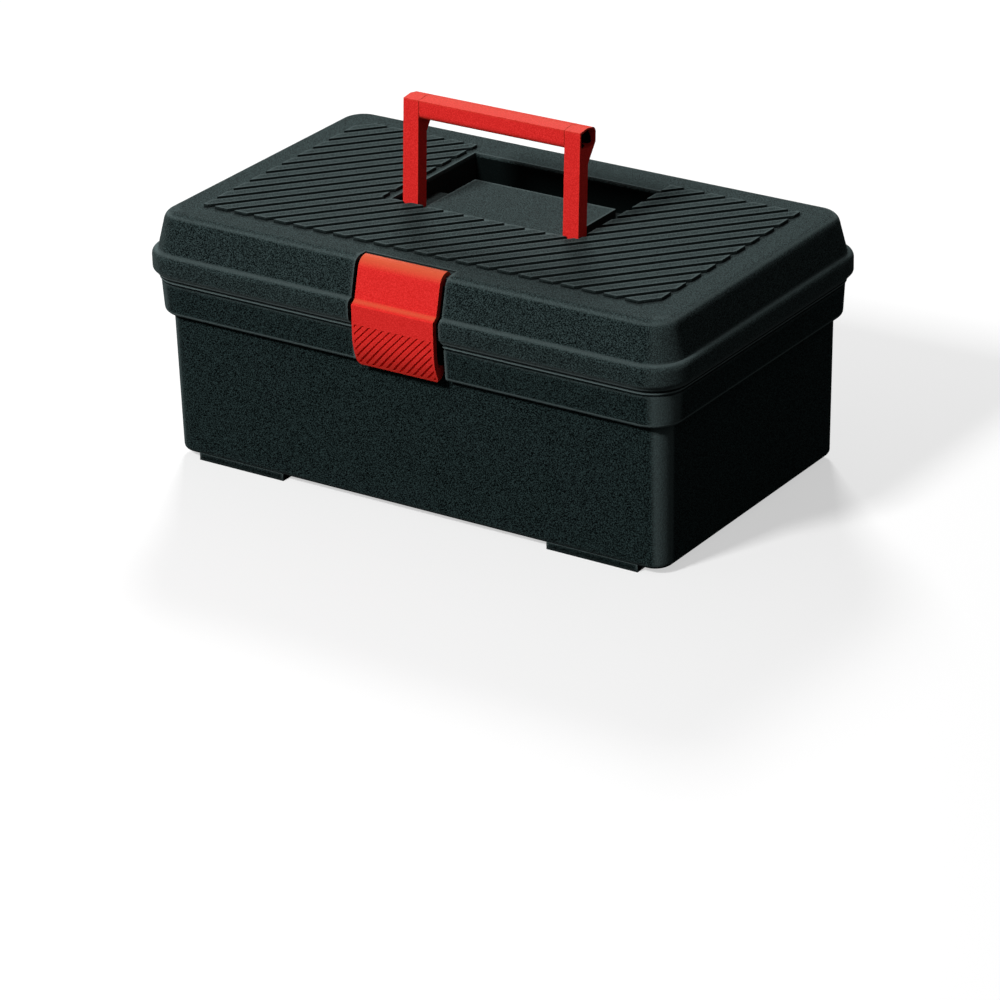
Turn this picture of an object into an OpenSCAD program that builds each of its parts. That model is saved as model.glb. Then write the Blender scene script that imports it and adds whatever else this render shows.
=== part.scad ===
// Hand toolbox with a lift-out tray: a drafted base, a ribbed lid on two rear hinges,
// a drop handle that folds into a well in the lid, and a snap latch at the front.
// X runs along the box, the front faces -Y and Z is up from the feet.

/* [Box] */
// Length over the lid's bead
box_l = 330; // [300:1:380]
// Depth over the lid's bead
box_d = 202; // [190:1:240]
// Corner radius in plan, at the bead
plan_r = 22; // [20:1:30]
// Wall thickness of the base and the lid
wall = 2.5; // [2:0.1:3]

/* [Base] */
// Height of the parting line above the ground
base_h = 104.5; // [96:0.5:130]
// Height of the foot pads
foot_h = 3; // [2:0.5:6]
// Length of each foot pad
foot_l = 55; // [30:1:70]
// Width of each foot pad
foot_w = 14; // [8:1:24]
// Distance from the base's end to the outer end of a pad
foot_end = 15; // [13:1:30]
// Height of the rim band below the parting line
band_h = 21; // [17:0.5:25]
// How far the top of the band lies in from the bead
band_in = 4.4; // [4.2:0.1:5]
// How far the band narrows towards its lower edge
band_taper = 0.9; // [0.5:0.1:2]
// How far the wall lies in from the band's lower edge
band_step = 5.1; // [4.5:0.1:6]
// Radius of the band's lower edge
band_r = 3; // [2:0.1:4]
// How much narrower the floor is on each side than the top of the wall
base_draft = 1.4; // [0.5:0.1:3]
// Radius of the bottom edge
floor_r = 3; // [1.5:0.5:4]
// How far the fine ridge under the parting line stands out
ridge_out = 0.8; // [0.3:0.1:1]
// Height of the fine ridge
ridge_h = 1.2; // [0.8:0.1:2]
// Depth of the groove under the fine ridge
ridge_groove = 0.5; // [0.2:0.1:0.8]

/* [Lid] */
// Height of the lid's flat top above the parting line
lid_h = 35.7; // [34:0.5:50]
// Height of the bead round the lid's lower edge
bead_h = 15; // [13:0.5:16]
// How far the lid's wall lies in from the bead
bead_out = 3.4; // [2.8:0.1:3.8]
// Lean of the lid's walls from upright, in degrees
lid_lean = 14; // [8:0.5:16]
// Radius of the lid's top edge
top_r = 6; // [5:0.5:8]
// Open gap at the parting line
parting_gap = 1.2; // [0.4:0.1:1.5]

/* [Top ribs] */
// Height of a rib above the flat top
rib_h = 1.8; // [0.8:0.1:2.2]
// Width of a rib, square to its length
rib_w = 6; // [4:0.1:7]
// Distance from rib to rib, square to their length
rib_pitch = 9.6; // [8.5:0.1:14]
// Angle of the ribs from the box's length, in degrees
rib_angle = 49; // [35:1:55]
// Plain margin at each end of the ribbed field, from the bead
rib_end = 26.3; // [22:0.1:40]
// Plain margin in front of and behind the ribbed field, from the bead
rib_side = 27.4; // [24:0.1:40]
// Plain strip at the left side of the handle well
rib_strip = 3.6; // [1:0.1:6]

/* [Handle well] */
// Length of the well along the box
well_l = 119.5; // [116:0.5:130]
// Distance from the middle of the lid forward to the well's front edge
well_front = 17.5; // [10:0.5:25]
// Depth of the well, front edge to back edge
well_d = 84; // [78:0.5:88]
// Depth of the island between the folded legs, below the flat top
island_z = 1.8; // [1:0.1:6]
// Gap between the island and each leg
island_gap = 0.9; // [0.6:0.1:4]
// Gap between the island and the folded crossbar
grab_gap = 2.9; // [1:0.1:8]
// Clear space under the folded legs and crossbar
well_clear = 1.6; // [1:0.1:4]

/* [Handle] */
// Room in the well beside the handle's left leg
room_left = 9.4; // [2:0.1:14]
// Room in the well beside the handle's right leg
room_right = 0.6; // [0.5:0.1:8]
// Height of the crossbar's top above the lid's flat top
handle_rise = 59; // [52:0.5:61]
// Width of a leg, along the box
leg_w = 9.5; // [7:0.5:11]
// Thickness of a leg, front to back
leg_t = 8; // [6.5:0.5:8.5]
// Thickness of the crossbar, front to back
bar_t = 15; // [11:0.5:16]
// Height of the crossbar
bar_h = 11.5; // [9:0.5:13]
// Height over which a leg widens into the crossbar
flare_h = 8; // [5:0.5:12]
// Radius of the crossbar's back edges
bar_r = 3.5; // [3.5:0.1:5]
// Radius of the crossbar's lower front edge
bar_low_r = 3.5; // [3.5:0.1:4.5]
// Rise of the crossbar's arched top
bar_crown = 1.2; // [0.4:0.1:1.6]
// Wall round the crossbar's hollow core
bar_wall = 1.2; // [1:0.1:2]
// Thickness of the grip sleeve
grip_t = 1.2; // [0.8:0.1:1.4]
// Open seam at each end of the grip sleeve
grip_seam = 0.3; // [0.1:0.1:0.5]
// Rim round the wider mouth at each end of the crossbar
mouth_rim = 1; // [0.8:0.1:1.6]
// Depth of that mouth
mouth_d = 6; // [1:0.5:8]
// Lean of the standing handle toward the back, in degrees
handle_lean = 3.5; // [0:0.5:6]
// Radius of the handle's pivots
pivot_r = 2.6; // [2:0.1:3]
// Gap between the upright legs and the well's front edge
leg_gap = 0.5; // [0.4:0.1:1]

/* [Latch] */
// Width of the latch
latch_w = 50.5; // [40:0.5:60]
// Gap at each side of the latch
latch_gap = 2.8; // [1:0.1:4]
// Thickness of the latch
latch_t = 3; // [2.4:0.1:3.2]
// How far the latch stands out from the lid
latch_proud = 0.8; // [0.4:0.1:1.2]
// Radius of the latch's hinge barrel
latch_barrel_r = 3.8; // [3.4:0.1:4.2]
// Radius of the latch pin
latch_pin_r = 1.5; // [1.2:0.1:1.8]
// How far the latch reaches below the band's lower edge
latch_drop = 1; // [0:0.1:3]
// How far the hook reaches in under the catch
hook_grip = 1.3; // [0.8:0.1:1.8]
// Height of the catch above the band's lower edge
catch_up = 8.5; // [7:0.5:10]
// Thickness of the catch
catch_t = 2.6; // [2:0.1:3.5]
// Radius of the latch's bowed lower end
latch_bow_r = 34; // [30:1:60]
// Height of the start of that bow below the parting line
bow_drop = 4; // [2:0.5:6]
// Radius of the latch's lower corners
latch_corner_r = 4; // [2:0.5:6]
// Distance from grip groove to grip groove, square to their length
groove_pitch = 3; // [2.4:0.1:4]
// Width of a grip groove
groove_w = 1.1; // [0.6:0.1:1.4]
// Depth of a grip groove
groove_d = 0.8; // [0.3:0.1:1]

/* [Hinges] */
// Distance of each hinge's middle from the end of the box
hinge_end = 70; // [52:1:100]
// Radius of the hinge knuckles
knuckle_r = 4; // [3.5:0.1:4.5]
// Length of each of the base's knuckles
knuckle_l = 11; // [8:0.5:14]
// Length of the lid's knuckle between them
lid_knuckle_l = 22; // [16:0.5:30]
// Radius of the hinge pins
hinge_pin_r = 1.5; // [1.2:0.1:2]
// Gap between the knuckles and the bead
hinge_gap = 0.6; // [0.5:0.1:1.5]

/* [Tray] */
// Depth of the tray below its rim
tray_h = 36; // [25:1:50]
// Wall thickness of the tray
tray_wall = 2; // [1.6:0.1:2.4]
// Gap between the tray and the base's wall
tray_gap = 2; // [1:0.1:3]
// How much narrower the tray's floor is on each side
tray_draft = 1.5; // [0.5:0.1:2.5]
// Thickness of the tray's rim
tray_rim_t = 2.2; // [1.6:0.1:3]
// Height of the tray's carrying grip above its rim
grip_rise = 16.5; // [12:0.5:20]
// Length of the carrying grip
grip_l = 110; // [80:1:140]
// Radius of the carrying grip's bar
grip_r = 4.2; // [3:0.1:5]
// Length of the finger hole under the grip
finger_l = 84; // [60:1:90]
// Height of the finger hole
finger_h = 20; // [14:0.5:22]
// Number of compartments behind the middle wall
rear_bays = 3; // [2:1:5]

/* [Fits] */
// Radial clearance of a turning pin
pin_clear = 0.06; // [0.04:0.01:0.08]
// Side gap between parts that turn past each other
side_gap = 0.4; // [0.3:0.1:0.8]

/* [Hidden] */
$fn = 64;
// How deep joined solids run into each other, and how far cutters run past a face
overlap = 0.5;
past = 1;
black = [0.13, 0.14, 0.14];
red = [0.83, 0.15, 0.15];
steel = [0.7, 0.7, 0.72];

// Insets from the bead, all measured inward on the outside faces
band_low_in = band_in + band_taper;
wall_top_in = band_low_in + band_step;
wall_low_in = wall_top_in + base_draft;
ridge_in = band_in - ridge_out;
lip_in = band_in - 0.5;
lip_w = 1.3;
lip_r = 2.5;
lip_rise = 1.5;
inner_cut = 1;

// Levels above the ground
band_z = base_h - band_h;
ledge_z = band_z + wall;
lid_low_z = base_h + parting_gap;
bead_top_z = base_h + bead_h;
seat_z = bead_top_z - wall;
top_z = base_h + lid_h;
rib_top_z = top_z + rib_h;

// Centre of the lid's top edge radius, as inset and height
edge_z = top_z - top_r;
edge_in = bead_out + (edge_z + top_r * sin(lid_lean) - bead_top_z) * tan(lid_lean)
    + top_r * cos(lid_lean);

// The handle turns about its pivots in the well
foot_r = leg_t / 2;
foot_drop = 0.8;
pivot_y = -well_front + leg_gap + foot_r;
pivot_z = top_z - foot_r - foot_drop;
bar_top_z = top_z + handle_rise;
bar_low_z = bar_top_z - bar_h;
leg_z = bar_low_z - flare_h;
handle_l = well_l - room_left - room_right;
handle_shift = (room_left - room_right) / 2;
left_leg_x = handle_shift - handle_l / 2;
right_leg_x = handle_shift + handle_l / 2 - leg_w;
clear_l = handle_l - 2 * leg_w;

// Floors of the well: legs' channels, and the trough for the crossbar
channel_z = pivot_z - foot_r - well_clear;
trough_z = pivot_z - (bar_t - foot_r) - well_clear;
island_top_z = top_z - island_z;
well_back = well_d - well_front;
channel_back = pivot_y + (leg_z - pivot_z) - well_clear;
island_back = pivot_y + (bar_low_z - pivot_z) - grab_gap;
boss_r = pivot_r + wall;
boss_l = 4;
boss_end = well_l / 2 + wall + boss_l;
hub_r = foot_r + 0.2;
hub_gap = 0.5;
pivot_reach = boss_end - 0.5;

// Latch: barrel at the lid's top edge, step over the bead, bowed lower end with
// its grip grooves, and the hook under the base's catch
latch_r = top_r + latch_proud;
latch_y = box_d / 2 - edge_in;
latch_pin_z = edge_z + latch_r - latch_barrel_r;
pocket_w = latch_w + 2 * latch_gap;
pocket_in = wall_top_in;
latch_pin_l = pocket_w + 2 * wall;
pocket_back_in = edge_in + latch_barrel_r + 0.9;
catch_z = band_z + catch_up;
catch_in = pocket_in - catch_t - 0.8;
catch_end = 3;
hook_in = catch_in + hook_grip;
hook_gap = 0.5;
hook_t = 1.6;
hook_z = catch_z - hook_gap;
turn_z = latch_pin_z - 9;
turn_h = 5;
step_up = 0.6;
step_down = 2;
step_shift = 1.2;
bow_z = base_h - bow_drop;
bow_cap = 0.8;
bow_a = asin((bow_z - band_z + latch_drop - bow_cap) / latch_bow_r);
groove_side = 1.2;
groove_low_z = band_z + 1;
groove_top_z = base_h + 2.6;
groove_cutter = 20;

// Hinges stand behind the bead, just under the parting line
hinge_x = box_l / 2 - hinge_end;
hinge_y = box_d / 2 + hinge_gap + knuckle_r;
hinge_z = base_h - 1;
lid_barrel_half = lid_knuckle_l / 2;
base_barrel_end = lid_barrel_half + side_gap + knuckle_l;

// Tray hangs on the ledge inside the band
tray_in = wall_top_in + wall + tray_gap;
tray_rim_in = band_low_in + wall + inner_cut + 0.6;
tray_low_z = ledge_z - tray_h;
tray_rim_z = ledge_z + tray_rim_t;
grip_top_z = tray_rim_z + grip_rise;
tray_low_in = tray_in + tray_draft;
tray_bevel = 1.5;
wall_drop = 4;
bay_w = box_l - 2 * tray_low_in;
floor_in = tray_low_in + 2 * tray_bevel;
tray_floor_z = tray_low_z + tray_wall;
web_z = tray_rim_z - wall_drop;
divider_gap = 0.3;
grip_z = grip_top_z - grip_r;

// The hinges reach further back than the latch does forward, and the middle of
// the whole is set over the origin
centre_y = (box_d / 2 + latch_proud - hinge_y - knuckle_r) / 2;

// Points of an arc about (cx, cy), from angle a to angle b
function arc(cx, cy, r, a, b, n = 6) =
    [for (i = [0 : n]) [cx + r * cos(a + (b - a) * i / n), cy + r * sin(a + (b - a) * i / n)]];

// Carries a profile round the box's plan. In the profile x is the distance out
// from the bead's outline, negative inward, and y is the height.
module around() {
    for (k = [0 : 3]) {
        reach = (k % 2 == 0 ? box_l : box_d) / 2;
        half_run = (k % 2 == 0 ? box_d : box_l) / 2 - plan_r;
        rotate(90 * k) {
            translate([reach, half_run, 0]) rotate([90, 0, 0])
                linear_extrude(2 * half_run) children();
            translate([reach - plan_r, half_run, 0])
                rotate_extrude(angle = 90) translate([plan_r, 0]) children();
        }
    }
}

// Flat plate with the box's plan, inset by a distance
module plate(inset, z, h) {
    r = plan_r - inset;
    l = box_l - 2 * inset;
    d = box_d - 2 * inset;
    translate([0, 0, z]) {
        translate([-l / 2, -d / 2 + r, 0]) cube([l, d - 2 * r, h]);
        translate([-l / 2 + r, -d / 2, 0]) cube([l - 2 * r, d, h]);
        for (x = [-1, 1], y = [-1, 1]) {
            translate([x * (l / 2 - r), y * (d / 2 - r), 0]) cylinder(r = r, h = h);
        }
    }
}

// Sets a finished piece over the origin
module placed() {
    translate([0, centre_y, 0]) children();
}

// Block between two corners
module block(low, high) {
    translate(low) cube(high - low);
}

// Profile drawn in depth and height, extruded along the box about its middle
module across(length) {
    translate([-length / 2, 0, 0]) rotate([90, 0, 90]) linear_extrude(length) children();
}

// Wall of the base from the floor's edge to the top of the upstand
module base_profile() {
    polygon(concat(
        [[-wall_low_in - floor_r - overlap, foot_h]],
        arc(-wall_low_in - floor_r, foot_h + floor_r, floor_r, -90, 0, 4),
        [[-wall_top_in, band_z]],
        arc(-band_low_in - band_r, band_z + band_r, band_r, -90, 0, 5),
        [[-band_in, base_h - 2 * ridge_h - ridge_groove],
         [-band_in - ridge_groove, base_h - 2 * ridge_h],
         [-band_in - ridge_groove, base_h - ridge_h],
         [-ridge_in, base_h - ridge_h],
         [-ridge_in, base_h - ridge_h / 3],
         [-band_in, base_h],
         [-band_in, seat_z],
         [-band_in - wall, seat_z],
         [-band_in - wall, base_h],
         [-band_low_in - wall, ledge_z + inner_cut],
         [-band_low_in - wall - inner_cut, ledge_z],
         [-wall_top_in - wall, ledge_z],
         [-wall_low_in - wall, foot_h + floor_r + wall],
         [-wall_low_in - floor_r - overlap, foot_h + wall]]));
}

// Wall of the lid from the lip of its bead to the edge of its top
module lid_profile() {
    polygon(concat(
        [[-lip_in, lid_low_z], [-lip_in + lip_w, lid_low_z]],
        arc(-lip_r, lid_low_z + lip_r + lip_rise, lip_r, -62, 0, 4),
        arc(-bead_out, bead_top_z - bead_out, bead_out, 0, 80, 5),
        [[-bead_out, bead_top_z]],
        arc(-edge_in, edge_z, top_r, lid_lean, 90, 8),
        [[-edge_in - overlap, top_z],
         [-edge_in - overlap, top_z - wall]],
        arc(-edge_in, edge_z, top_r - wall, 90, lid_lean, 8),
        [[-bead_out - wall, bead_top_z],
         [-bead_out - wall, seat_z],
         [-wall, seat_z],
         [-wall, lid_low_z + lip_r + lip_rise]]));
}

// Space that the latch fills in the lid's front, as a profile in depth and height
module lid_pocket_profile(grow) {
    front = -box_d / 2;
    polygon([[front - past, lid_low_z - past],
        [front + pocket_in + grow, lid_low_z - past],
        [front + pocket_in + grow, turn_z - grow / 2],
        [front + pocket_back_in + grow, turn_z + turn_h - grow / 2],
        [front + pocket_back_in + grow, rib_top_z + past],
        [front - past, rib_top_z + past]]);
}

// Point on the latch's bowed lower end at a radius and an angle below the level
function bow(r, a) = [latch_proud - latch_bow_r + r * cos(a), bow_z - r * sin(a)];

function bow_arc(r, a, b, n = 12) = [for (i = [0 : n]) bow(r, a + (b - a) * i / n)];

// Outside of the latch, from its barrel down to its lower edge
function latch_outer() = concat(
    arc(-edge_in, edge_z, latch_r, 90, lid_lean, 7),
    [[latch_proud - bead_out, bead_top_z + step_up], [latch_proud, bead_top_z - step_down]],
    bow_arc(latch_bow_r, 0, bow_a),
    [bow(latch_bow_r - bow_cap, bow_a + bow_cap)]);

// Inside of the latch, from its lower edge up past its hook to the barrel
function latch_inner() =
    let (r = latch_bow_r - latch_t, a = asin((bow_z - hook_z) / r))
    concat([bow(r + bow_cap, bow_a + bow_cap),
        bow(r, bow_a),
        [-hook_in, hook_z - 2 * hook_t],
        [-hook_in, hook_z - hook_t],
        [-hook_in + hook_t / 2, hook_z]],
    bow_arc(r, a, 0),
    [[latch_proud - latch_t, bead_top_z - step_down - step_shift],
     [latch_proud - bead_out - latch_t, bead_top_z + step_up - step_shift]],
    arc(-edge_in, edge_z, latch_r - latch_t, lid_lean, 90, 7));

// An outline at the front is drawn as inset and height, and turned to depth here
module front_shape(points) {
    polygon([for (p = points) [-box_d / 2 - p[0], p[1]]]);
}

// Outline of the crossbar with its flat front at the legs' front, inset all round
function bar_outline(inset) =
    let (f = pivot_y - foot_r + inset, b = pivot_y - foot_r + bar_t, r = bar_r)
    concat(arc(f - inset + bar_low_r, bar_low_z + bar_low_r, bar_low_r - inset, 180, 270, 5),
        arc(b - r, bar_low_z + r, r - inset, -90, 0, 5),
        arc(b - r, bar_top_z - bar_crown / 2 - r, r - inset, 0, 80, 5),
        [[(f + b) / 2 - 1, bar_top_z - inset],
         [f, bar_top_z - bar_crown - inset]]);

// Leans the handle back about its pivots
module leaned() {
    translate([0, pivot_y, pivot_z]) rotate([-handle_lean, 0, 0])
        translate([0, -pivot_y, -pivot_z]) children();
}

// Side view of a leg: round foot, straight shank and the flare up to the crossbar
module leg_shape() {
    translate([pivot_y, pivot_z]) circle(r = foot_r);
    polygon(concat([[pivot_y - foot_r, pivot_z], [pivot_y + foot_r, pivot_z],
        [pivot_y + foot_r, leg_z]],
        [[pivot_y - foot_r + bar_t, bar_low_z + bar_r * 0.7],
         [pivot_y - foot_r + bar_t, bar_low_z + bar_r]],
        arc(pivot_y - foot_r + bar_t - bar_r, bar_top_z - bar_crown / 2 - bar_r, bar_r, 0, 80, 5),
        [[pivot_y - foot_r + bar_t / 2 - 1, bar_top_z],
         [pivot_y - foot_r, bar_top_z - bar_crown]]));
}

// Round bar along the box about the middle of its length
module bar(x, y, z, length, r) {
    translate([x - length / 2, y, z]) rotate([0, 90, 0]) cylinder(r = r, h = length);
}

module hinge_bar(x, length, r) {
    bar(x, hinge_y, hinge_z, length, r);
}

// One of the base's knuckles on its gusset against the band
module base_knuckle(x) {
    hinge_bar(x, knuckle_l, knuckle_r);
    translate([x, 0, 0]) across(knuckle_l)
        polygon([[hinge_y, hinge_z - knuckle_r],
            [hinge_y, hinge_z],
            [box_d / 2 - band_in - overlap, hinge_z],
            [box_d / 2 - band_low_in - overlap, band_z + band_r],
            [box_d / 2 - band_low_in + 1, band_z + band_r]]);
}

// Foot pad, flush with the flat of the floor
module foot_pad(x, y) {
    end = box_l / 2 - wall_low_in - foot_end;
    front = box_d / 2 - wall_low_in - 0.3;
    mirror([x < 0 ? 1 : 0, 0, 0]) mirror([0, y < 0 ? 1 : 0, 0])
        block([end - foot_l, front - foot_w, 0], [end, front, foot_h + wall / 2]);
}

// Recess in the front of the base behind the latch, open above
module base_pocket() {
    front = -box_d / 2;
    block([-pocket_w / 2, front - past, band_z - past],
        [pocket_w / 2, front + pocket_in, seat_z + past]);
}

module base() color(black) placed() {
    recess_half = pocket_w / 2 + wall;
    difference() {
        union() {
            difference() {
                union() {
                    around() base_profile();
                    plate(wall_low_in + floor_r, foot_h, wall);
                }
                base_pocket();
                // The upstand stops clear of the latch and its pocket in the lid
                block([-recess_half - past, -box_d / 2, base_h],
                    [recess_half + past, -box_d / 2 + pocket_in + wall + 3, seat_z + past]);
            }
            // Back and ends of the recess
            block([-recess_half, -box_d / 2 + pocket_in, ledge_z - wall],
                [recess_half, -box_d / 2 + pocket_in + wall, base_h]);
            for (x = [-1, 1]) {
                translate([x * (pocket_w + wall) / 2, 0, 0]) across(wall)
                    front_shape([[-pocket_in - wall / 2, band_z + wall / 2],
                        [-band_low_in - band_r, band_z + wall / 2],
                        [-band_low_in - wall / 2, band_z + band_r],
                        [-band_in - wall / 2, base_h],
                        [-pocket_in - wall / 2, base_h]]);
            }
            // Catch for the latch's hook
            across(latch_w - 2 * catch_end)
                front_shape([[-pocket_in - wall / 2, catch_z],
                    [-catch_in, catch_z],
                    [-catch_in, catch_z + 1],
                    [-pocket_in - wall / 2, catch_z + catch_t + 2]]);
            for (x = [-1, 1], y = [-1, 1]) {
                foot_pad(x, y);
            }
            for (x = [-1, 1], s = [-1, 1]) {
                base_knuckle(x * hinge_x + s * (base_barrel_end - knuckle_l / 2));
            }
        }
        for (x = [-1, 1]) {
            hinge_bar(x * hinge_x, 2 * (base_barrel_end + past), hinge_pin_r);
        }
    }
}

// Volumes of the handle well, each grown by a distance to make its shell
module well(grow) {
    half = well_l / 2 + grow;
    front = -well_front - grow;
    back = well_back + grow;
    roof = rib_top_z + past;
    lid_roof = grow > 0 ? top_z - wall / 2 : roof;
    block([-half, front, island_top_z - grow], [half, back, lid_roof]);
    block([-half, island_back - grow, trough_z - grow], [half, back, island_top_z + overlap]);
    for (x = [-1, 1]) {
        edge = abs(handle_shift + x * (clear_l / 2 - island_gap)) - grow;
        mirror([x < 0 ? 1 : 0, 0, 0]) {
            block([edge, front, channel_z - grow], [half, back, island_top_z + overlap]);
            block([edge, channel_back - grow, trough_z - grow],
                [half, back, island_top_z + overlap]);
        }
    }
}

// Diagonal ribs on the flat top, cut square at the field's borders and at the well
module top_ribs() {
    half_l = box_l / 2 - rib_end;
    half_d = box_d / 2 - rib_side;
    reach = half_l * sin(rib_angle) + half_d * cos(rib_angle);
    count = floor(reach / rib_pitch);
    difference() {
        intersection() {
            block([-half_l, -half_d, top_z - overlap], [half_l, half_d, rib_top_z]);
            union() {
                for (i = [-count : count]) {
                    rotate(rib_angle)
                        translate([0, i * rib_pitch, top_z])
                            cube([3 * box_l, rib_w, 4 * rib_h], center = true);
                }
            }
        }
        block([-well_l / 2 - rib_strip, -well_front, top_z - past],
            [well_l / 2, box_d / 2, rib_top_z + past]);
    }
}

module lid() color(black) placed() {
    difference() {
        union() {
            around() lid_profile();
            plate(edge_in, top_z - wall, wall);
            top_ribs();
            well(wall);
            // Bosses behind the well's sides carry the handle's pivots
            intersection() {
                bar(0, pivot_y, pivot_z, 2 * boss_end, boss_r);
                for (x = [-1, 1]) {
                    translate([x * boss_end, pivot_y, top_z - wall / 2 - boss_r])
                        cube([2 * (boss_l + wall / 2), 3 * boss_r, 2 * boss_r], center = true);
                }
            }
            // Walls round the latch's pocket
            intersection() {
                across(pocket_w + 2 * wall) lid_pocket_profile(wall);
                across(box_l) front_shape(concat(
                    [[-box_d / 2, lid_low_z],
                     [-bead_out - wall / 2, lid_low_z],
                     [-bead_out - wall / 2, bead_top_z]],
                    arc(-edge_in, edge_z, top_r - wall / 2, lid_lean, 90, 8),
                    [[-box_d / 2, top_z - wall / 2]]));
            }
            for (x = [-1, 1]) {
                translate([x * hinge_x, 0, 0]) {
                    hinge_bar(0, lid_knuckle_l, knuckle_r);
                    across(lid_knuckle_l)
                        polygon([[box_d / 2 - 1, lid_low_z + 3],
                            [hinge_y - knuckle_r * 0.8, hinge_z + knuckle_r * 0.5],
                            [hinge_y, hinge_z],
                            [hinge_y, hinge_z + knuckle_r],
                            [box_d / 2 - 1, bead_top_z - 6]]);
                }
            }
        }
        difference() {
            well(0);
            // Hub round the pivot, between the well's end and the left leg
            bar((left_leg_x - hub_gap - well_l / 2 - past) / 2, pivot_y, pivot_z,
                left_leg_x - hub_gap + well_l / 2 + past, hub_r);
        }
        across(pocket_w) lid_pocket_profile(0);
        bar(0, -latch_y, latch_pin_z, latch_pin_l, latch_pin_r);
        bar(0, pivot_y, pivot_z, 2 * boss_end, pivot_r + pin_clear);
        for (x = [-1, 1]) {
            hinge_bar(x * hinge_x, lid_knuckle_l + past, hinge_pin_r + pin_clear);
        }
    }
}

// Two legs joined by the hollow core of the crossbar, with a pivot on each foot
module handle_bail() color(red) placed() leaned() {
    difference() {
        union() {
            for (x = [left_leg_x, right_leg_x]) {
                translate([x + leg_w / 2, 0, 0]) across(leg_w) leg_shape();
            }
            translate([handle_shift, 0, 0]) across(clear_l + 2 * past)
                polygon(bar_outline(grip_t));
        }
        translate([handle_shift, 0, 0]) across(handle_l + 2 * past)
            polygon(bar_outline(grip_t + bar_wall));
        for (x = [-1, 1]) {
            translate([handle_shift + x * handle_l / 2, 0, 0]) across(2 * mouth_d)
                polygon(bar_outline(mouth_rim));
        }
    }
    left_l = pivot_reach + left_leg_x + past;
    right_l = pivot_reach - right_leg_x - leg_w + past;
    bar(left_l / 2 - pivot_reach, pivot_y, pivot_z, left_l, pivot_r);
    bar(pivot_reach - right_l / 2, pivot_y, pivot_z, right_l, pivot_r);
}

// Sleeve round the crossbar between the legs
module handle_grip() color(red) placed() leaned() {
    translate([handle_shift, 0, 0]) difference() {
        across(clear_l - 2 * grip_seam) polygon(bar_outline(0));
        across(clear_l + 2 * past) polygon(bar_outline(grip_t));
    }
}

// Diagonal bars that cut the grip grooves, reaching in by the groove's depth
module grooves() {
    half = latch_w / 2 - groove_side;
    reach = (2 * half + groove_top_z - groove_low_z) / 2;
    count = ceil(reach / groove_pitch);
    intersection() {
        across(2 * half) front_shape(concat(
            [[latch_proud - groove_d, groove_top_z]],
            bow_arc(latch_bow_r - groove_d, 0, bow_a),
            bow_arc(latch_bow_r + past, bow_a, 0),
            [[latch_proud + past, groove_top_z]]));
        block([-half, -box_d, groove_low_z], [half, 0, groove_top_z]);
        translate([0, -box_d / 2, (groove_low_z + groove_top_z) / 2]) rotate([0, -45, 0]) union() {
            for (i = [-count : count]) {
                translate([0, 0, i * groove_pitch])
                    cube([4 * reach, groove_cutter, groove_w], center = true);
            }
        }
    }
}

// What a lower corner of the latch loses to its radius
module corner_cut() {
    x = latch_w / 2 - latch_corner_r;
    z = bow_z - latch_bow_r * sin(bow_a) + latch_corner_r - bow_cap;
    difference() {
        block([x, -box_d / 2 - latch_t, band_z - latch_drop - past],
            [latch_w / 2 + past, -box_d / 2 + pocket_in, z]);
        translate([x, 0, z]) rotate([90, 0, 0]) cylinder(r = latch_corner_r, h = box_d);
    }
}

// Latch plate on its barrel, with a hook inside and diagonal grip grooves outside
module latch() color(red) placed() {
    difference() {
        union() {
            across(latch_w) front_shape(concat(latch_outer(), latch_inner()));
            bar(0, -latch_y, latch_pin_z, latch_w, latch_barrel_r);
        }
        bar(0, -latch_y, latch_pin_z, latch_w + 2 * past, latch_pin_r + pin_clear);
        grooves();
        for (x = [0, 1]) {
            mirror([x, 0, 0]) corner_cut();
        }
    }
}

module latch_pin() color(steel) placed() {
    bar(0, -latch_y, latch_pin_z, latch_pin_l, latch_pin_r);
}

module hinge_pin(x) color(steel) placed() {
    hinge_bar(x, 2 * base_barrel_end, hinge_pin_r);
}

module hinge_pin_left() hinge_pin(-hinge_x);

module hinge_pin_right() hinge_pin(hinge_x);

// Wall of the tray with the rim that rests on the base's ledge
module tray_profile() {
    polygon([[-floor_in, tray_low_z],
        [-tray_low_in - tray_bevel, tray_low_z],
        [-tray_low_in, tray_low_z + tray_bevel],
        [-tray_in, ledge_z],
        [-tray_rim_in, ledge_z],
        [-tray_rim_in, tray_rim_z],
        [-tray_in - tray_wall, tray_rim_z],
        [-tray_low_in - tray_wall, tray_low_z + tray_bevel + tray_wall],
        [-floor_in, tray_low_z + tray_wall]]);
}

module tray() color(black) placed() {
    difference() {
        union() {
            around() tray_profile();
            plate(floor_in - overlap, tray_low_z, tray_wall);
        }
        // The rim gives way to the recess behind the latch
        block([-pocket_w / 2 - wall - past, -box_d / 2, ledge_z - past],
            [pocket_w / 2 + wall + past, -box_d / 2 + tray_in, tray_rim_z + past]);
    }
}

// End of a divider wall, following the tray's drafted side from its floor up
function divider_end(reach) = [
    [reach - floor_in - divider_gap, tray_floor_z],
    [reach - tray_low_in - tray_wall - divider_gap, tray_floor_z + tray_bevel],
    [reach - tray_in - tray_wall - divider_gap, web_z]];

function mirrored(points) = [for (i = [len(points) - 1 : -1 : 0]) [-points[i][0], points[i][1]]];

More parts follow.
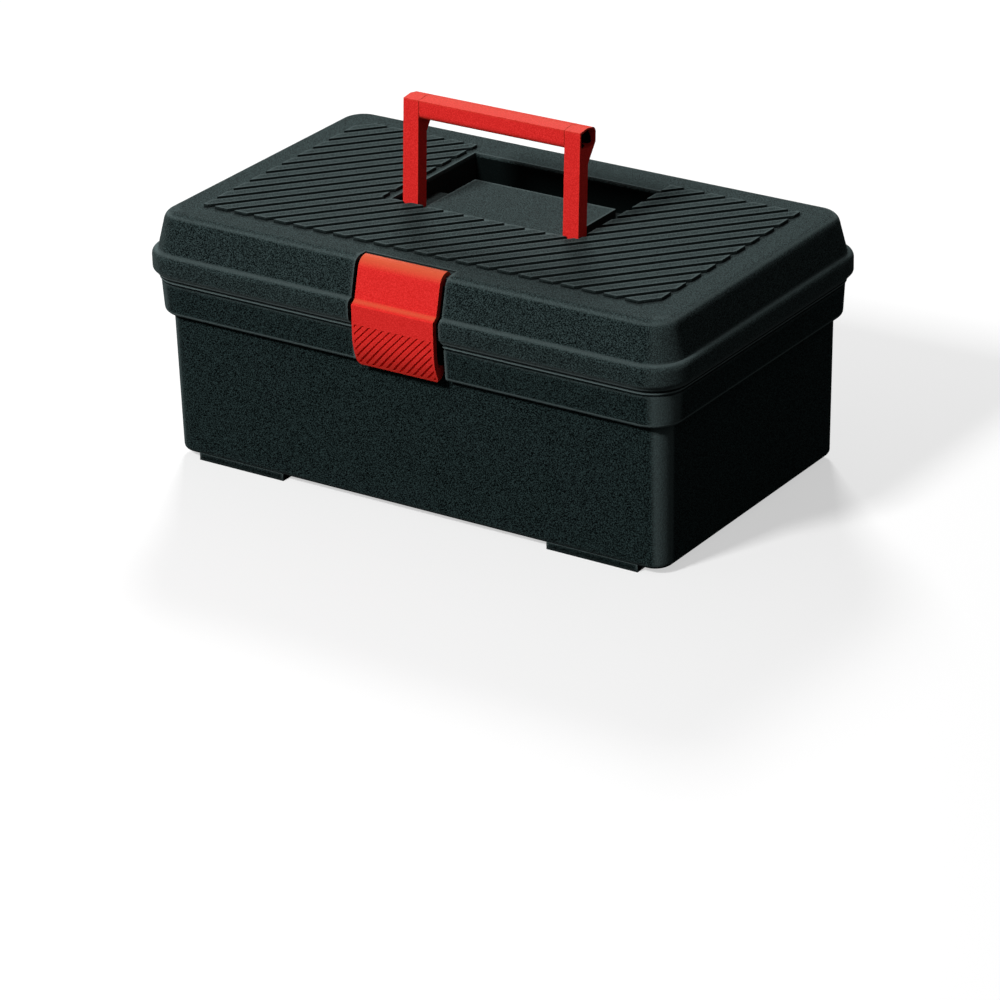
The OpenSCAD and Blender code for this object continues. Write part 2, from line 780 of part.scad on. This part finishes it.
// Lift-out divider: middle wall with the carrying grip and finger hole, and the
// cross walls of the rear compartments
module tray_divider() color(black) placed() {
    ends = divider_end(box_l / 2);
    grip_half = grip_l / 2 + grip_rise;
    difference() {
        union() {
            translate([0, tray_wall / 2, 0]) rotate([90, 0, 0]) linear_extrude(tray_wall)
                polygon(concat(ends,
                    [[grip_half, web_z], [grip_l / 2 - grip_r, grip_z],
                     [-grip_l / 2 + grip_r, grip_z], [-grip_half, web_z]],
                    mirrored(ends)));
            bar(0, 0, grip_z, grip_l, grip_r);
            for (i = [1 : rear_bays - 1]) {
                translate([-bay_w / 2 + i * bay_w / rear_bays, 0, 0]) across(tray_wall)
                    polygon(concat([[0, tray_floor_z]], divider_end(box_d / 2), [[0, web_z]]));
            }
        }
        // Finger hole with round ends
        translate([0, 0, grip_z - grip_r - finger_h / 2]) {
            cube([finger_l - finger_h, 4 * tray_wall, finger_h], center = true);
            for (x = [-1, 1]) {
                translate([x * (finger_l - finger_h) / 2, 0, 0]) rotate([90, 0, 0])
                    cylinder(r = finger_h / 2, h = 4 * tray_wall, center = true);
            }
        }
    }
}

base();
lid();
handle_bail();
handle_grip();
latch();
latch_pin();
hinge_pin_left();
hinge_pin_right();
tray();
tray_divider();
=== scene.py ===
"""Hand toolbox: the moulded black box, lid and tray, the red handle and latch, and the steel pins."""
import math
import bpy
import numpy as np
from mathutils import Matrix, Vector


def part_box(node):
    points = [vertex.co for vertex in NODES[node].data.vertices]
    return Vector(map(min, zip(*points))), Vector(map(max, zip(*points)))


MM = 0.001

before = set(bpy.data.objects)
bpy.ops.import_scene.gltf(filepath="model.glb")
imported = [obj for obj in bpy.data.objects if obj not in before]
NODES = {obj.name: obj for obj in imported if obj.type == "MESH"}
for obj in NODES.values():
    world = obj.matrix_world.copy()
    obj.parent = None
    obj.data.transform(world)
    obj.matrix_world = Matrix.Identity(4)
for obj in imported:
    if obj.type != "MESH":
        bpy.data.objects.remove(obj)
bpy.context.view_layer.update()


# ---------------------------------------------------------------- camera and light
SENSOR_WIDTH = 36.0     # mm
AIM_HEIGHT = 65.0       # mm above the ground, about half the height of the box


def make_camera(azimuth, elevation, roll, distance, lens, slide, lift):
    """Camera on a sphere of the given distance about the aim point, turned by azimuth and
    elevation from the front and rolled, then moved in its own plane so that the view slides
    right and lifts. Angles are in degrees and lengths in mm."""
    a, e, r = (math.radians(v) for v in (azimuth, elevation, roll))
    back = np.array([math.sin(a) * math.cos(e), -math.cos(a) * math.cos(e), math.sin(e)])
    right = np.array([math.cos(a), math.sin(a), 0.0])
    up = np.cross(back, right)
    turn = np.array([[math.cos(r), math.sin(r), 0], [-math.sin(r), math.cos(r), 0], [0, 0, 1]])
    right, up, back = turn @ np.array([right, up, back])
    place = np.array([0, 0, AIM_HEIGHT]) + distance * back - slide * right - lift * up
    data = bpy.data.cameras.new("camera")
    data.sensor_width = SENSOR_WIDTH
    data.lens = lens
    data.clip_end = 20.0
    camera = bpy.data.objects.new("camera", data)
    rows = np.eye(4)
    rows[:3, 0], rows[:3, 1], rows[:3, 2] = right, up, back
    rows[:3, 3] = place * MM
    camera.matrix_world = Matrix(rows.tolist())
    bpy.context.collection.objects.link(camera)
    bpy.context.scene.camera = camera


def make_light(name, place, aim, size, watts):
    """Soft square lamp at a place in metres, turned to face the aim point."""
    data = bpy.data.lights.new(name, "AREA")
    data.shape = "SQUARE"
    data.size = size
    data.energy = watts
    lamp = bpy.data.objects.new(name, data)
    lamp.location = place
    lamp.rotation_euler = (Vector(aim) - Vector(place)).to_track_quat("-Z", "Y").to_euler()
    bpy.context.collection.objects.link(lamp)


# ---------------------------------------------------------------- nodes
def colour(code):
    """sRGB hex code as a linear RGBA colour."""
    parts = [int(code[i:i + 2], 16) / 255.0 for i in (0, 2, 4)]
    return [v / 12.92 if v <= 0.04045 else ((v + 0.055) / 1.055) ** 2.4 for v in parts] + [1.0]


def add(tree, kind, settings=None, **links):
    """Adds a node and gives its settings, which are properties or unlinked inputs. The other
    arguments are inputs by name, or by number as _0, and each is another node's output, which
    is linked, or a plain value."""
    node = tree.nodes.new(kind)
    for key, value in (settings or {}).items():
        if key in node.inputs and not hasattr(node, key):
            node.inputs[key].default_value = value
        else:
            setattr(node, key, value)
    for key, value in links.items():
        socket = node.inputs[int(key[1:])] if key[0] == "_" else node.inputs[key.replace("_", " ")]
        if isinstance(value, bpy.types.NodeSocket):
            tree.links.new(value, socket)
        else:
            socket.default_value = value
    return node


def new_material(name):
    """Empty node material, returned with its tree."""
    material = bpy.data.materials.new(name)
    material.use_nodes = True
    material.node_tree.nodes.clear()
    return material, material.node_tree


def per_mm(size):
    """Texture scale at which one cell is about the given size in millimetres."""
    return 1.0 / (size * MM)


def in_metres(lengths):
    """Lengths in millimetres as a tuple in metres."""
    return tuple(length * MM for length in lengths)


# ---------------------------------------------------------------- where the painted highlights and shade go, in mm
BEAD_HALF = (165.0, 101.0)      # half length and half depth over the lid's bead
BEAD_RADIUS = 22.0              # its corner radius in plan
PARTING = 104.5                 # height at which base and lid meet
LATCH_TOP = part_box("latch")[1][2] / MM
BAR_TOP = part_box("handle_grip")[1][2] / MM

# The upright corners of base and lid are arcs about four axes, this far from the middle.
CORNER_AXIS = (BEAD_HALF[0] - BEAD_RADIUS, BEAD_HALF[1] - BEAD_RADIUS, 0.0)
CORNER_LEAST_REACH = 8.5        # the painted corner highlight starts this far out from the axis

# Level edges given a painted highlight, a pale line: the height of each, half the width of the
# line, how far out from the corner axes it starts, with -1 for anywhere, and how pale it gets.
LID_TOP_EDGE = dict(height=PARTING + 34.3, half=1.3, reach=5.0, shine=0.3)
BEAD_SHOULDER = dict(height=PARTING + 14.9, half=1.3, reach=15.0, shine=0.4)
BAND_LOW_EDGE = dict(height=PARTING - 19.1, half=1.0, reach=15.0, shine=0.6)
LATCH_BEND = dict(height=LATCH_TOP, half=5.5, reach=2.0, shine=0.9)
LATCH_STEP = dict(height=PARTING + 14.7, half=1.5, reach=2.0, shine=0.7)
BAR_CROWN = dict(height=BAR_TOP + 0.6, half=3.0, reach=-1.0, shine=0.25)

# Hollows painted near black as shade: the middle and half size of each, and how square its
# box is. The handle well's goes 1 mm past its walls and ends 2 mm under the lid's flat top.
WELL = dict(middle=(0.0, 24.5, 118.2), half=(60.8, 43.0, 20.0), square=40.0)


def bar_mouths():
    """The hollow in each end of the handle's crossbar, painted dark as shade, with its middle just
    outside the end and its sides within the thickness of the bar's walls."""
    outside, half_depth, side_wall, top_wall = 0.4, 9.2, 0.95, 1.05
    low, high = (np.array(corner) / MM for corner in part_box("handle_grip"))
    middle, half = (high + low) / 2, (high - low) / 2
    hollow = (half_depth, half[1] - side_wall, half[2] - top_wall)
    return tuple(dict(middle=(middle[0] + end * (half[0] + outside), middle[1], middle[2]),
                      half=hollow, square=6.0) for end in (-1, 1))


# ---------------------------------------------------------------- materials
GRAIN_TURN = (0.61, 0.47, 0.33)     # radians: no wall runs along the cells of the noise
PIT_AND_SPECK = (0.38, 0.68)        # noise values of the deepest pit and the highest speck
FLAT_AND_EDGE = (0.97, 0.55)        # openness inside the wall on a flat and at a sharp edge, where the painted highlight is nil and full
SHUT_AND_OPEN = (0.48, 0.88)        # openness outside where the painted shade in folds is full and where it ends
CREASE_REACH = 9.0                  # mm within which another wall brings on the painted shade
CORNER_START_AND_FULL = (0.2, 0.5)  # how even the two reaches are where the painted corner highlight starts and is full
POLYPROPYLENE_IOR = 1.49


def corner_reach(tree, place):
    """Distance of each point outside the rectangle through the corner axes, and the smaller of
    its two parts, along and across, over the larger: 1 in the middle of a corner's arc, and 0
    on the straight walls."""
    spread = add(tree, "ShaderNodeVectorMath", {"operation": "ABSOLUTE"}, _0=place).outputs[0]
    beyond = add(tree, "ShaderNodeVectorMath", {"operation": "SUBTRACT"}, _0=spread,
                 _1=in_metres(CORNER_AXIS)).outputs[0]
    beyond = add(tree, "ShaderNodeVectorMath", {"operation": "MAXIMUM"}, _0=beyond,
                 _1=(0.0, 0.0, 0.0)).outputs[0]
    beyond = add(tree, "ShaderNodeVectorMath", {"operation": "MULTIPLY"}, _0=beyond,
                 _1=(1.0, 1.0, 0.0)).outputs[0]
    reach = add(tree, "ShaderNodeVectorMath", {"operation": "LENGTH"}, _0=beyond).outputs["Value"]
    side = add(tree, "ShaderNodeSeparateXYZ", Vector=beyond).outputs
    least = add(tree, "ShaderNodeMath", {"operation": "MINIMUM"}, _0=side["X"], _1=side["Y"]).outputs[0]
    most = add(tree, "ShaderNodeMath", {"operation": "MAXIMUM"}, _0=side["X"], _1=side["Y"]).outputs[0]
    evenness = add(tree, "ShaderNodeMath", {"operation": "DIVIDE"}, _0=least, _1=most).outputs[0]
    return reach, evenness


def paint_corner_highlight(tree, skin, reach, evenness, shine, pale):
    """Skin with a painted highlight down the upright corners, as strong as the shine value says."""
    outside = add(tree, "ShaderNodeMath", {"operation": "GREATER_THAN"}, _0=reach,
                  _1=CORNER_LEAST_REACH * MM).outputs[0]
    around = add(tree, "ShaderNodeMath", {"operation": "MULTIPLY"}, _0=evenness, _1=outside).outputs[0]
    start, full = CORNER_START_AND_FULL
    corner_lit = add(tree, "ShaderNodeMapRange", {"interpolation_type": "SMOOTHSTEP", "From Min": start,
                  "From Max": full, "To Max": shine}, Value=around).outputs["Result"]
    return add(tree, "ShaderNodeMix", {"data_type": "RGBA"}, _0=corner_lit, _6=skin, _7=pale).outputs[2]


def paint_edge_highlight(tree, skin, height, reach, edge, pale):
    """Skin with a painted highlight along one level edge: most at the edge's height, and nothing
    at half the line's width above and below it."""
    above = add(tree, "ShaderNodeMath", {"operation": "SUBTRACT"}, _0=height,
                _1=edge["height"] * MM).outputs[0]
    away = add(tree, "ShaderNodeMath", {"operation": "ABSOLUTE"}, _0=above).outputs[0]
    strip = add(tree, "ShaderNodeMapRange", {"interpolation_type": "SMOOTHSTEP",
                "From Max": edge["half"] * MM, "To Min": edge["shine"], "To Max": 0.0},
                Value=away).outputs["Result"]
    outside = add(tree, "ShaderNodeMath", {"operation": "GREATER_THAN"}, _0=reach,
                  _1=edge["reach"] * MM).outputs[0]
    line = add(tree, "ShaderNodeMath", {"operation": "MULTIPLY"}, _0=strip, _1=outside).outputs[0]
    return add(tree, "ShaderNodeMix", {"data_type": "RGBA"}, _0=line, _6=skin, _7=pale).outputs[2]


def paint_hollow_shade(tree, skin, place, hollow, hollow_shade):
    """Skin with painted shade, in the hollow_shade colour, inside a hollow, which is where the sum of
    the offsets from its middle, each over the half size and to the power of its squareness, is under 1."""
    offset = add(tree, "ShaderNodeVectorMath", {"operation": "SUBTRACT"}, _0=place,
                 _1=in_metres(hollow["middle"])).outputs[0]
    offset = add(tree, "ShaderNodeVectorMath", {"operation": "ABSOLUTE"}, _0=offset).outputs[0]
    share = add(tree, "ShaderNodeVectorMath", {"operation": "DIVIDE"}, _0=offset,
                _1=in_metres(hollow["half"])).outputs[0]
    side = add(tree, "ShaderNodeSeparateXYZ", Vector=share).outputs
    power = [add(tree, "ShaderNodeMath", {"operation": "POWER"}, _0=side[axis],
                 _1=hollow["square"]).outputs[0] for axis in "XYZ"]
    total = add(tree, "ShaderNodeMath", {"operation": "ADD"}, _0=power[0], _1=power[1]).outputs[0]
    total = add(tree, "ShaderNodeMath", {"operation": "ADD"}, _0=total, _1=power[2]).outputs[0]
    inside = add(tree, "ShaderNodeMath", {"operation": "LESS_THAN"}, _0=total, _1=1.0).outputs[0]
    return add(tree, "ShaderNodeMix", {"data_type": "RGBA"}, _0=inside, _6=skin, _7=hollow_shade).outputs[2]


def moulded_plastic(name, pit, speck, edge, hollow_shade, grain, depth, rough, gloss, sheen, tint,
                    edge_highlight, edge_depth, corner_highlight, crease_shade, edges, hollows):
    """Injection-moulded polypropylene with a spark-eroded skin. An even grain of pits and specks
    breaks up the light, so that there is no clear reflection, only a soft sheen at low angles.
    Sharp edges, some level edges and the box's upright corners get painted highlights in a pale
    colour, and creases and hollows get painted shade, dark as if the lamps' light did not reach
    them. All these tones are in the base colour. The real grain is about 0.3 mm wide, and it is
    drawn twice as coarse so that it shows. Grain, depth, which is that of the grain, and
    edge_depth are in mm."""
    material, tree = new_material(name)
    pit, speck, edge, hollow_shade = (colour(code) for code in (pit, speck, edge, hollow_shade))
    place = add(tree, "ShaderNodeTexCoord").outputs["Object"]

    turned = add(tree, "ShaderNodeMapping", {"Rotation": GRAIN_TURN}, Vector=place).outputs[0]
    pits = add(tree, "ShaderNodeTexNoise", {"Scale": per_mm(grain), "Detail": 0.6, "Roughness": 0.6},
               Vector=turned).outputs["Fac"]
    lowest, highest = PIT_AND_SPECK
    raised = add(tree, "ShaderNodeMapRange", {"From Min": lowest, "From Max": highest},
                 Value=pits).outputs[0]
    skin = add(tree, "ShaderNodeMix", {"data_type": "RGBA"}, _0=raised, _6=pit, _7=speck).outputs[2]

    # Painted highlight: sharp edges, found by occlusion inside the wall, turn pale.
    inner = add(tree, "ShaderNodeAmbientOcclusion", {"samples": 6, "inside": True,
                "Distance": edge_depth * MM}).outputs["AO"]
    flat, sharp = FLAT_AND_EDGE
    edge_lit = add(tree, "ShaderNodeMapRange", {"From Min": flat, "From Max": sharp,
                 "To Max": edge_highlight}, Value=inner).outputs[0]
    skin = add(tree, "ShaderNodeMix", {"data_type": "RGBA"}, _0=edge_lit, _6=skin, _7=edge).outputs[2]
    reach, evenness = corner_reach(tree, place)
    # Painted highlight down the box's upright corners.
    skin = paint_corner_highlight(tree, skin, reach, evenness, corner_highlight, edge)

    # Painted shade: where walls close in, the skin darkens towards the deepest pit colour.
    outer = add(tree, "ShaderNodeAmbientOcclusion", {"samples": 8,
                "Distance": CREASE_REACH * MM}).outputs["AO"]
    shut, free = SHUT_AND_OPEN
    unshaded = add(tree, "ShaderNodeMapRange", {"interpolation_type": "SMOOTHSTEP", "From Min": shut,
                "From Max": free, "To Min": crease_shade}, Value=outer).outputs["Result"]
    skin = add(tree, "ShaderNodeMix", {"data_type": "RGBA"}, _0=unshaded, _6=pit, _7=skin).outputs[2]

    height = add(tree, "ShaderNodeSeparateXYZ", Vector=place).outputs["Z"]
    # Painted highlights along level edges, then painted shade inside hollows.
    for level in edges:
        skin = paint_edge_highlight(tree, skin, height, reach, level, edge)
    for hollow in hollows:
        skin = paint_hollow_shade(tree, skin, place, hollow, hollow_shade)

    bump = add(tree, "ShaderNodeBump", {"Strength": 1.0, "Distance": depth * MM}, Height=pits)
    shader = add(tree, "ShaderNodeBsdfPrincipled",
                 {"Roughness": rough, "IOR": POLYPROPYLENE_IOR, "Specular IOR Level": gloss,
                  "Sheen Weight": sheen, "Sheen Roughness": 0.5, "Sheen Tint": colour(tint)},
                 Base_Color=skin, Normal=bump.outputs["Normal"])
    add(tree, "ShaderNodeOutputMaterial", Surface=shader.outputs["BSDF"])
    return material


def blackened_steel(name):
    """Drawn steel pin with a black oxide skin: dark, dull metal with fine lines along it. They
    are 0.3 mm wide, coarser than the real ones, so that they show."""
    material, tree = new_material(name)
    place = add(tree, "ShaderNodeTexCoord").outputs["Object"]
    along = add(tree, "ShaderNodeMapping", {"Scale": (0.02, 1.0, 1.0)}, Vector=place).outputs[0]
    lines = add(tree, "ShaderNodeTexNoise", {"Scale": per_mm(0.3), "Detail": 3.0},
                Vector=along).outputs["Fac"]
    shade = add(tree, "ShaderNodeMix", {"data_type": "RGBA"}, _0=lines, _6=colour("15171a"),
                _7=colour("3a3c40")).outputs[2]
    shader = add(tree, "ShaderNodeBsdfPrincipled", {"Metallic": 1.0, "Roughness": 0.42},
                 Base_Color=shade)
    add(tree, "ShaderNodeOutputMaterial", Surface=shader.outputs["BSDF"])
    return material


def dress(names, material):
    """Gives each named CAD node this one material."""
    for name in names:
        slots = NODES[name].data.materials
        slots.clear()
        slots.append(material)


# Charcoal with a cool cast: a fine, even grain, painted pale highlights along the lid's edges,
# painted shade in creases, and the handle well painted near black as shade.
lid_plastic = moulded_plastic(
    "black polypropylene, fine grain", pit="000404", speck="354343", edge="606e6e", hollow_shade="000404",
    grain=0.6, depth=0.25, rough=0.6, gloss=0.0, sheen=0.13, tint="e0f4f4",
    edge_highlight=0.4, edge_depth=2.0, corner_highlight=0.12, crease_shade=0.04,
    edges=(LID_TOP_EDGE, BEAD_SHOULDER), hollows=(WELL,))

# The same plastic with a deeper skin on the box, nearly black, with painted highlights on its
# corners and along the band's lower edge, and painted shade in creases.
base_plastic = moulded_plastic(
    "black polypropylene, coarse grain", pit="000202", speck="2b3a3a", edge="606e6e", hollow_shade="000202",
    grain=0.65, depth=0.3, rough=0.6, gloss=0.0, sheen=0.05, tint="e0f4f4",
    edge_highlight=0.8, edge_depth=2.0, corner_highlight=0.38, crease_shade=0.08,
    edges=(BAND_LOW_EDGE,), hollows=())

# Signal red with a satin skin, with painted orange highlights at the bend and step of the
# latch and on top of the bar, and the hollow ends of the bar painted dark as shade.
red_plastic = moulded_plastic(
    "red polypropylene, satin", pit="d02422", speck="e83432", edge="d05a3c", hollow_shade="180c0c",
    grain=0.6, depth=0.05, rough=0.5, gloss=0.01, sheen=0.07, tint="ff9428",
    edge_highlight=0.1, edge_depth=0.8, corner_highlight=0.0, crease_shade=0.9,
    edges=(LATCH_BEND, LATCH_STEP, BAR_CROWN), hollows=bar_mouths())

dress(["lid"], lid_plastic)
dress(["base", "tray", "tray_divider"], base_plastic)
dress(["handle_bail", "handle_grip", "latch"], red_plastic)
dress(["latch_pin", "hinge_pin_left", "hinge_pin_right"], blackened_steel("blackened steel"))


# ---------------------------------------------------------------- stage
FLOOR_HALF = 3.0            # metres
NEAR_AND_FAR = (0.4, 1.2)   # metres from the box over which the floor turns from pale to white
GLOW_NEAR = 0.55            # share of plain white in the floor beside the box
BEHIND = (-0.56, 0.83, 0.0)     # direction of the backdrop, away from the camera
BACKDROP = (0.3, 0.8)           # how nearly a ray goes that way where the backdrop starts and is full
DIM = 0.12                      # strength of the world away from the backdrop, and for soft bounces


def seen_directly(tree):
    """1 for rays from the camera, from a reflection or through glass, and 0 for soft bounces."""
    path = add(tree, "ShaderNodeLightPath").outputs
    some = add(tree, "ShaderNodeMath", {"operation": "MAXIMUM"},
               _0=path["Is Camera Ray"], _1=path["Is Glossy Ray"]).outputs[0]
    return add(tree, "ShaderNodeMath", {"operation": "MAXIMUM"},
               _0=some, _1=path["Is Transmission Ray"]).outputs[0]


def make_floor():
    """Pale floor that keeps the box's shadow and turns white further away. Soft bounces see it
    darker, so that the walls facing away from the lamps stay dark."""
    h = FLOOR_HALF
    mesh = bpy.data.meshes.new("floor")
    mesh.from_pydata([(-h, -h, 0), (h, -h, 0), (h, h, 0), (-h, h, 0)], [], [(0, 1, 2, 3)])
    floor = bpy.data.objects.new("floor", mesh)
    bpy.context.collection.objects.link(floor)
    material, tree = new_material("pale floor")
    seen = seen_directly(tree)
    tone = add(tree, "ShaderNodeMix", {"data_type": "RGBA"}, _0=seen,
               _6=colour("404040"), _7=colour("fafafa")).outputs[2]
    plain = add(tree, "ShaderNodeBsdfDiffuse", Color=tone).outputs[0]
    white = add(tree, "ShaderNodeEmission", {"Color": (1, 1, 1, 1), "Strength": 1.0}).outputs[0]
    place = add(tree, "ShaderNodeTexCoord").outputs["Object"]
    away = add(tree, "ShaderNodeVectorMath", {"operation": "LENGTH"}, _0=place).outputs["Value"]
    near, far = NEAR_AND_FAR
    glow = add(tree, "ShaderNodeMapRange", {"From Min": near, "From Max": far, "To Min": GLOW_NEAR},
               Value=away).outputs[0]
    share = add(tree, "ShaderNodeMath", {"operation": "MULTIPLY"}, _0=glow, _1=seen).outputs[0]
    surface = add(tree, "ShaderNodeMixShader", _0=share, _1=plain, _2=white).outputs[0]
    add(tree, "ShaderNodeOutputMaterial", Surface=surface)
    mesh.materials.append(material)


def make_world():
    """White to the camera, white behind the box in reflections, and dim for soft bounces."""
    world = bpy.data.worlds.new("world")
    world.use_nodes = True
    tree = world.node_tree
    tree.nodes.clear()
    way = add(tree, "ShaderNodeTexCoord").outputs["Generated"]
    behind = add(tree, "ShaderNodeVectorMath", {"operation": "DOT_PRODUCT"}, _0=way,
                 _1=BEHIND).outputs["Value"]
    start, full = BACKDROP
    backdrop = add(tree, "ShaderNodeMapRange", {"From Min": start, "From Max": full, "To Min": DIM},
                   Value=behind).outputs[0]
    path = add(tree, "ShaderNodeLightPath").outputs
    shown = add(tree, "ShaderNodeMath", {"operation": "MAXIMUM"},
                _0=path["Is Camera Ray"], _1=backdrop).outputs[0]
    strength = add(tree, "ShaderNodeMapRange", {"To Min": DIM}, Value=seen_directly(tree),
                   To_Max=shown).outputs[0]
    shader = add(tree, "ShaderNodeBackground", {"Color": (1, 1, 1, 1)}, Strength=strength)
    add(tree, "ShaderNodeOutputWorld", Surface=shader.outputs[0])
    bpy.context.scene.world = world


make_camera(azimuth=33.86, elevation=24.54, roll=-1.358, distance=2480.0, lens=167.8536,
            slide=3.825, lift=84.75)
make_floor()
make_world()
make_light("key", place=(-0.372, -1.748, 1.55), aim=(0, 0, 0.1), size=0.35, watts=50.0)
make_light("back", place=(-1.05, 1.56, 1.42), aim=(0, 0, 0.1), size=0.5, watts=42.0)
bpy.context.scene.view_settings.view_transform = "Standard"
